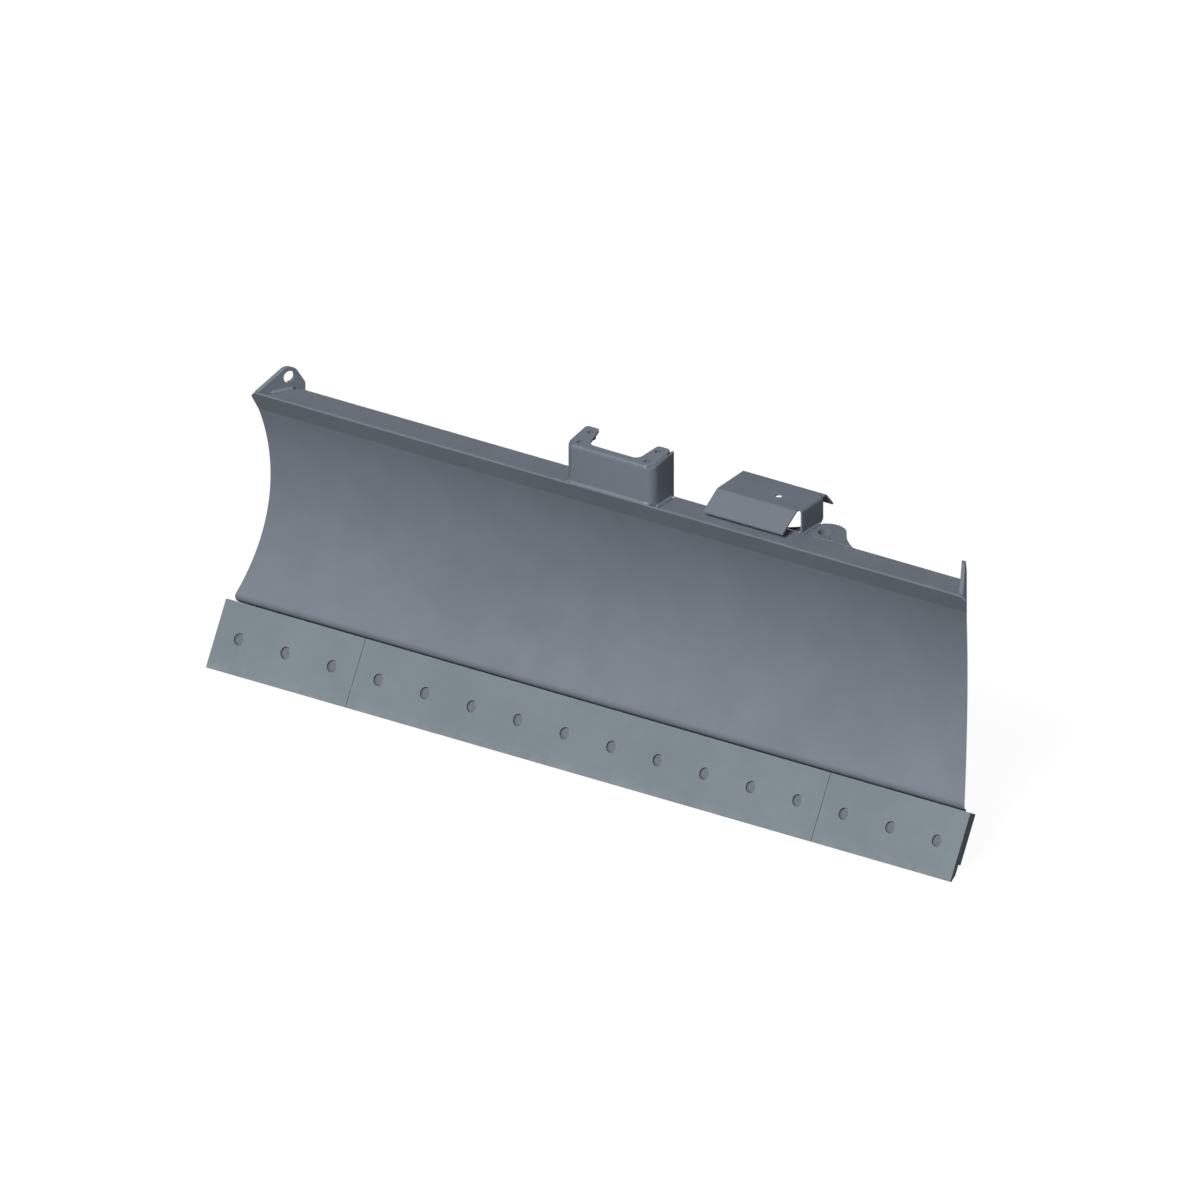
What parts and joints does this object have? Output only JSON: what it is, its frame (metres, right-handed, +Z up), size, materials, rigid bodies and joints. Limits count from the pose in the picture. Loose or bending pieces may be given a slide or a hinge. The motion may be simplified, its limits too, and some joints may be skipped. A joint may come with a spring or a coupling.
{
  "type": "plow blade",
  "caption": "Curved plow blade with bolt-on cutting edges, box rail, toed-in end plates with lifting eyes, forked mast bracket, cylinder lugs under a guard and a rear pivot.",
  "frame": {"origin": "centre of the pivot bushing's rear face, on the fore-and-aft pivot axis", "axes": "+X along the blade to the cylinder-lug end, +Y to the rear (towards the vehicle) along the pivot axis, +Z up; the curved face looks to -Y"},
  "size_m": [1.8288, 0.3088, 0.6856],
  "materials": {
    "painted_steel": "satin slate grey paint",
    "edge_steel": "satin grey steel, scuffed",
    "fastener_steel": "zinc flake grey",
    "bushing_bronze": "machined bronze"
  },
  "bodies": {
    "root": {"moldboard": "painted_steel", "base_bar": "painted_steel", "top_rail": "painted_steel", "end_plate_left": "painted_steel", "end_plate_right": "painted_steel", "center_rib_left": "painted_steel", "center_rib_right": "painted_steel", "lug_rib_left": "painted_steel", "lug_rib_right": "painted_steel", "outer_rib_left": "painted_steel", "outer_rib_right": "painted_steel", "pivot_front_plate": "painted_steel", "pivot_rear_plate": "painted_steel", "pivot_tube": "painted_steel", "mast_bracket_wall": "painted_steel", "mast_bracket_plate": "painted_steel", "cylinder_lug_upper": "painted_steel", "cylinder_lug_lower": "painted_steel", "cylinder_guard": "painted_steel", "cutting_edge_left": "edge_steel", "cutting_edge_center": "edge_steel", "cutting_edge_right": "edge_steel", "edge_bolt_01": "fastener_steel", "edge_bolt_02": "fastener_steel", "edge_bolt_03": "fastener_steel", "edge_bolt_04": "fastener_steel", "edge_bolt_05": "fastener_steel", "edge_bolt_06": "fastener_steel", "edge_bolt_07": "fastener_steel", "edge_bolt_08": "fastener_steel", "edge_bolt_09": "fastener_steel", "edge_bolt_10": "fastener_steel", "edge_bolt_11": "fastener_steel", "edge_bolt_12": "fastener_steel", "edge_bolt_13": "fastener_steel", "edge_bolt_14": "fastener_steel", "edge_bolt_15": "fastener_steel", "edge_bolt_16": "fastener_steel", "edge_nut_01": "fastener_steel", "edge_nut_02": "fastener_steel", "edge_nut_03": "fastener_steel", "edge_nut_04": "fastener_steel", "edge_nut_05": "fastener_steel", "edge_nut_06": "fastener_steel", "edge_nut_07": "fastener_steel", "edge_nut_08": "fastener_steel", "edge_nut_09": "fastener_steel", "edge_nut_10": "fastener_steel", "edge_nut_11": "fastener_steel", "edge_nut_12": "fastener_steel", "edge_nut_13": "fastener_steel", "edge_nut_14": "fastener_steel", "edge_nut_15": "fastener_steel", "edge_nut_16": "fastener_steel", "mast_nut_left_front": "fastener_steel", "mast_nut_left_rear": "fastener_steel", "mast_nut_right_front": "fastener_steel", "mast_nut_right_rear": "fastener_steel", "grease_fitting": "fastener_steel", "pivot_bushing": "bushing_bronze"}
  },
  "joints": []
}
